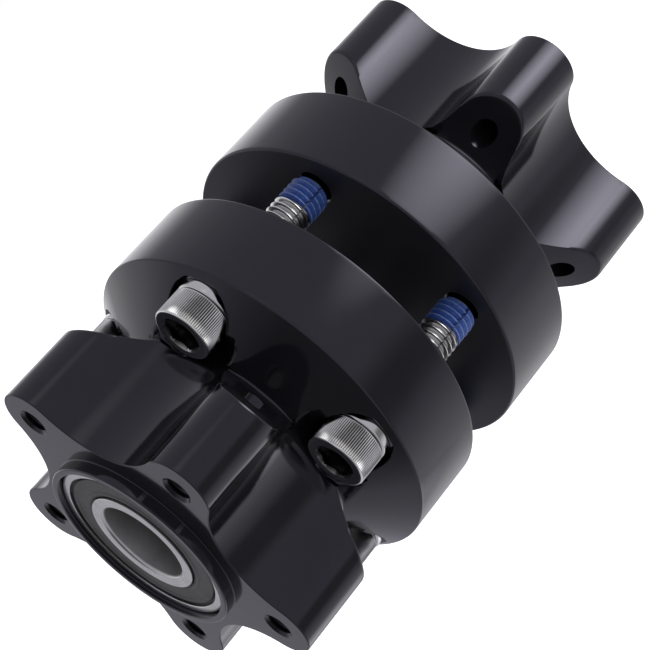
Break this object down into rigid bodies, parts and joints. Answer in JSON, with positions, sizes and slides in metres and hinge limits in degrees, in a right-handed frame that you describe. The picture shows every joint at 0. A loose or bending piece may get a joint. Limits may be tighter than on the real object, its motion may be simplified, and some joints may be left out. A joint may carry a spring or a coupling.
{
  "type": "two-piece clamp-together wheel hub",
  "caption": "Two-piece wheel hub with lobed ends, sealed ball bearings, and a ring of cap screws that clamp its two flanges on to the centre plate of a wheel.",
  "frame": {"origin": "centre of the hub: on the axle line, midway between the two pilot boss faces", "axes": "+Y along the axle from the left half to the right half, +Z through the first lobe of each half, +X so that the frame is right-handed"},
  "size_m": [0.1046, 0.1684, 0.1046],
  "materials": {
    "black_anodised": "gloss black anodised, polished before anodising",
    "bearing_steel": "ground and polished",
    "ball_steel": "mirror polished",
    "cage_polymer": "moulded, satin",
    "seal_rubber": "moulded, satin black",
    "spacer_aluminium": "turned, satin",
    "screw_steel": "bright plated, straight knurl on the head",
    "washer_steel": "polished",
    "thread_patch": "dry thread-locking patch, satin blue"
  },
  "bodies": {
    "axle_side": {"left_inner_ring": "bearing_steel", "right_inner_ring": "bearing_steel", "axle_spacer_tube": "spacer_aluminium"},
    "hub_shell": {"left_hub_half": "black_anodised", "right_hub_half": "black_anodised", "left_outer_ring": "bearing_steel", "right_outer_ring": "bearing_steel", "left_outer_seal": "seal_rubber", "left_inner_seal": "seal_rubber", "right_outer_seal": "seal_rubber", "right_inner_seal": "seal_rubber", "clamp_screw_1": "screw_steel", "clamp_screw_2": "screw_steel", "clamp_screw_3": "screw_steel", "clamp_screw_4": "screw_steel", "clamp_screw_5": "screw_steel", "clamp_washer_1": "washer_steel", "clamp_washer_2": "washer_steel", "clamp_washer_3": "washer_steel", "clamp_washer_4": "washer_steel", "clamp_washer_5": "washer_steel", "thread_patch_1": "thread_patch", "thread_patch_2": "thread_patch", "thread_patch_3": "thread_patch", "thread_patch_4": "thread_patch", "thread_patch_5": "thread_patch"},
    "left_ball_train": {"left_ball_cage": "cage_polymer", "left_ball_1": "ball_steel", "left_ball_2": "ball_steel", "left_ball_3": "ball_steel", "left_ball_4": "ball_steel", "left_ball_5": "ball_steel", "left_ball_6": "ball_steel", "left_ball_7": "ball_steel", "left_ball_8": "ball_steel", "left_ball_9": "ball_steel"},
    "right_ball_train": {"right_ball_cage": "cage_polymer", "right_ball_1": "ball_steel", "right_ball_2": "ball_steel", "right_ball_3": "ball_steel", "right_ball_4": "ball_steel", "right_ball_5": "ball_steel", "right_ball_6": "ball_steel", "right_ball_7": "ball_steel", "right_ball_8": "ball_steel", "right_ball_9": "ball_steel"}
  },
  "joints": [
    {"name": "hub_spin", "type": "hinge", "parent": "axle_side", "child": "hub_shell", "pos_m": [0, 0, 0], "axis": [0, 1, 0], "continuous": true},
    {"name": "left_ball_train_spin", "type": "hinge", "parent": "axle_side", "child": "left_ball_train", "pos_m": [0, -0.0753, 0], "axis": [0, 1, 0], "continuous": true},
    {"name": "right_ball_train_spin", "type": "hinge", "parent": "axle_side", "child": "right_ball_train", "pos_m": [0, 0.0753, 0], "axis": [0, 1, 0], "continuous": true}
  ],
  "couplings": [
    {"joint": "left_ball_train_spin", "follows": "hub_spin", "ratio": 0.6018},
    {"joint": "right_ball_train_spin", "follows": "hub_spin", "ratio": 0.6018}
  ]
}
